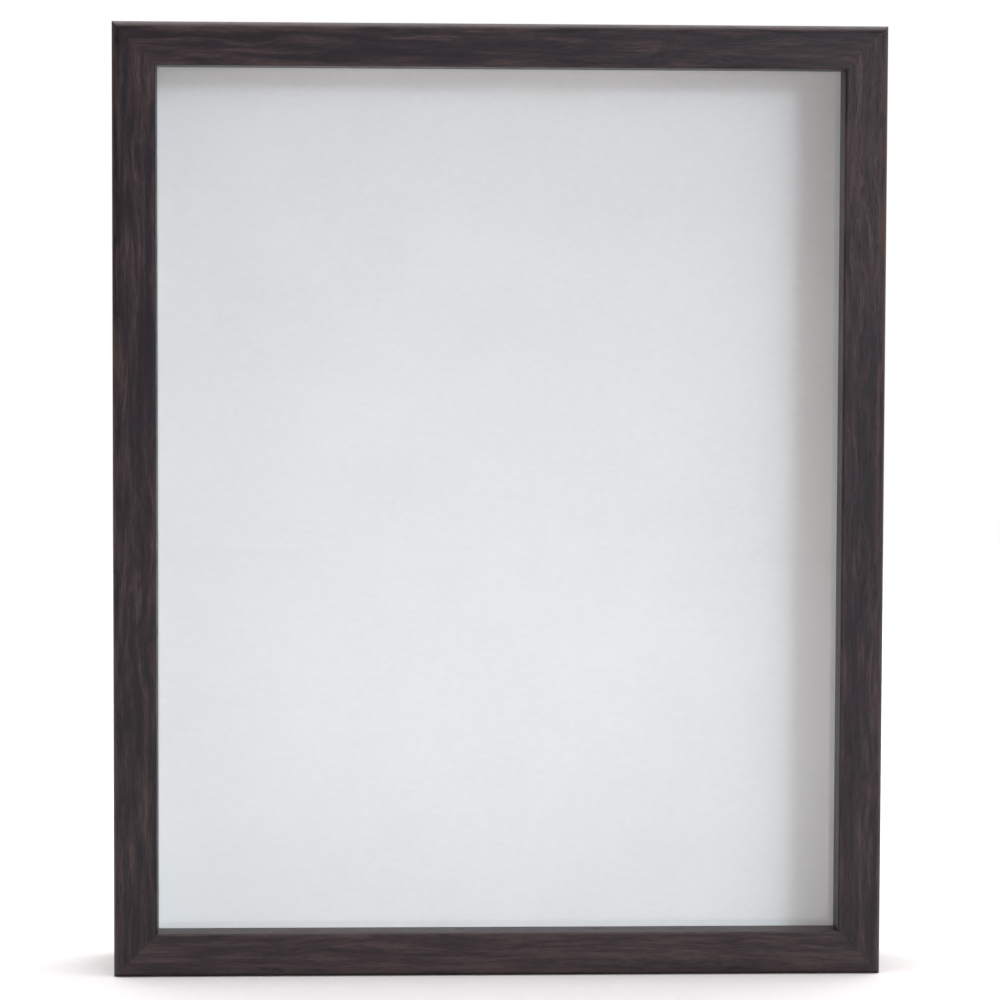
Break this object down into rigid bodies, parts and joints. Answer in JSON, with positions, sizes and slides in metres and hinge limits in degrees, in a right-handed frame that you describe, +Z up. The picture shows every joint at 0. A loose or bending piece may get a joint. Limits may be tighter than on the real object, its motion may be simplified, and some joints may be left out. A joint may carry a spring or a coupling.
{
  "type": "shadow box",
  "caption": "Deep portrait frame in dark stained wood with mitred corners, glazed over a white lined display space, with a lift-off back held by turn buttons.",
  "frame": {"origin": "centre of the underside of the bounding box, on the surface that the box stands on", "axes": "+Z up in the portrait position, the glazed front faces -Y, the wall is on the +Y side, +X is to the viewer's right"},
  "size_m": [0.217, 0.041, 0.2678],
  "materials": {
    "stained_wood": "dark espresso stain, satin lacquer, fine lengthwise grain",
    "nail_steel": "bare sheared steel strip",
    "glazing": "clear and polished, with ground edges",
    "white_lining": "white paper-faced foam board",
    "white_board": "smooth matt white board",
    "hardboard": "brown pressed fibre, matt and slightly mottled",
    "plated_steel": "bright zinc plate, lightly scuffed",
    "rivet_steel": "bright zinc plate",
    "screw_steel": "bright zinc plate",
    "bumper_rubber": "matt black rubber"
  },
  "bodies": {
    "root": {"rail_bottom": "stained_wood", "rail_left": "stained_wood", "rail_top": "stained_wood", "rail_right": "stained_wood", "corner_v_nails": "nail_steel", "glazing": "glazing", "spacer_bottom": "white_lining", "spacer_left": "white_lining", "spacer_top": "white_lining", "spacer_right": "white_lining", "turn_button_screws": "screw_steel", "bumper_left": "bumper_rubber", "bumper_right": "bumper_rubber"},
    "back": {"backing_board": "white_board", "back_panel": "hardboard", "sawtooth_hanger_portrait": "plated_steel", "sawtooth_hanger_landscape": "plated_steel", "hanger_rivets": "rivet_steel"},
    "button_top": {"turn_button_top": "plated_steel"},
    "button_bottom": {"turn_button_bottom": "plated_steel"},
    "button_left_upper": {"turn_button_left_upper": "plated_steel"},
    "button_left_lower": {"turn_button_left_lower": "plated_steel"},
    "button_right_upper": {"turn_button_right_upper": "plated_steel"},
    "button_right_lower": {"turn_button_right_lower": "plated_steel"}
  },
  "joints": [
    {"name": "back_lift_out", "type": "slide", "parent": "root", "child": "back", "axis": [0, 1, 0], "range_m": [0, 0.06]},
    {"name": "turn_top", "type": "hinge", "parent": "root", "child": "button_top", "pos_m": [0, 0.0181, 0.2645], "axis": [0, 1, 0], "continuous": true},
    {"name": "turn_bottom", "type": "hinge", "parent": "root", "child": "button_bottom", "pos_m": [0, 0.0181, 0.0033], "axis": [0, 1, 0], "continuous": true},
    {"name": "turn_left_upper", "type": "hinge", "parent": "root", "child": "button_left_upper", "pos_m": [-0.1052, 0.0181, 0.1939], "axis": [0, 1, 0], "continuous": true},
    {"name": "turn_left_lower", "type": "hinge", "parent": "root", "child": "button_left_lower", "pos_m": [-0.1052, 0.0181, 0.0739], "axis": [0, 1, 0], "continuous": true},
    {"name": "turn_right_upper", "type": "hinge", "parent": "root", "child": "button_right_upper", "pos_m": [0.1052, 0.0181, 0.1939], "axis": [0, 1, 0], "continuous": true},
    {"name": "turn_right_lower", "type": "hinge", "parent": "root", "child": "button_right_lower", "pos_m": [0.1052, 0.0181, 0.0739], "axis": [0, 1, 0], "continuous": true}
  ]
}
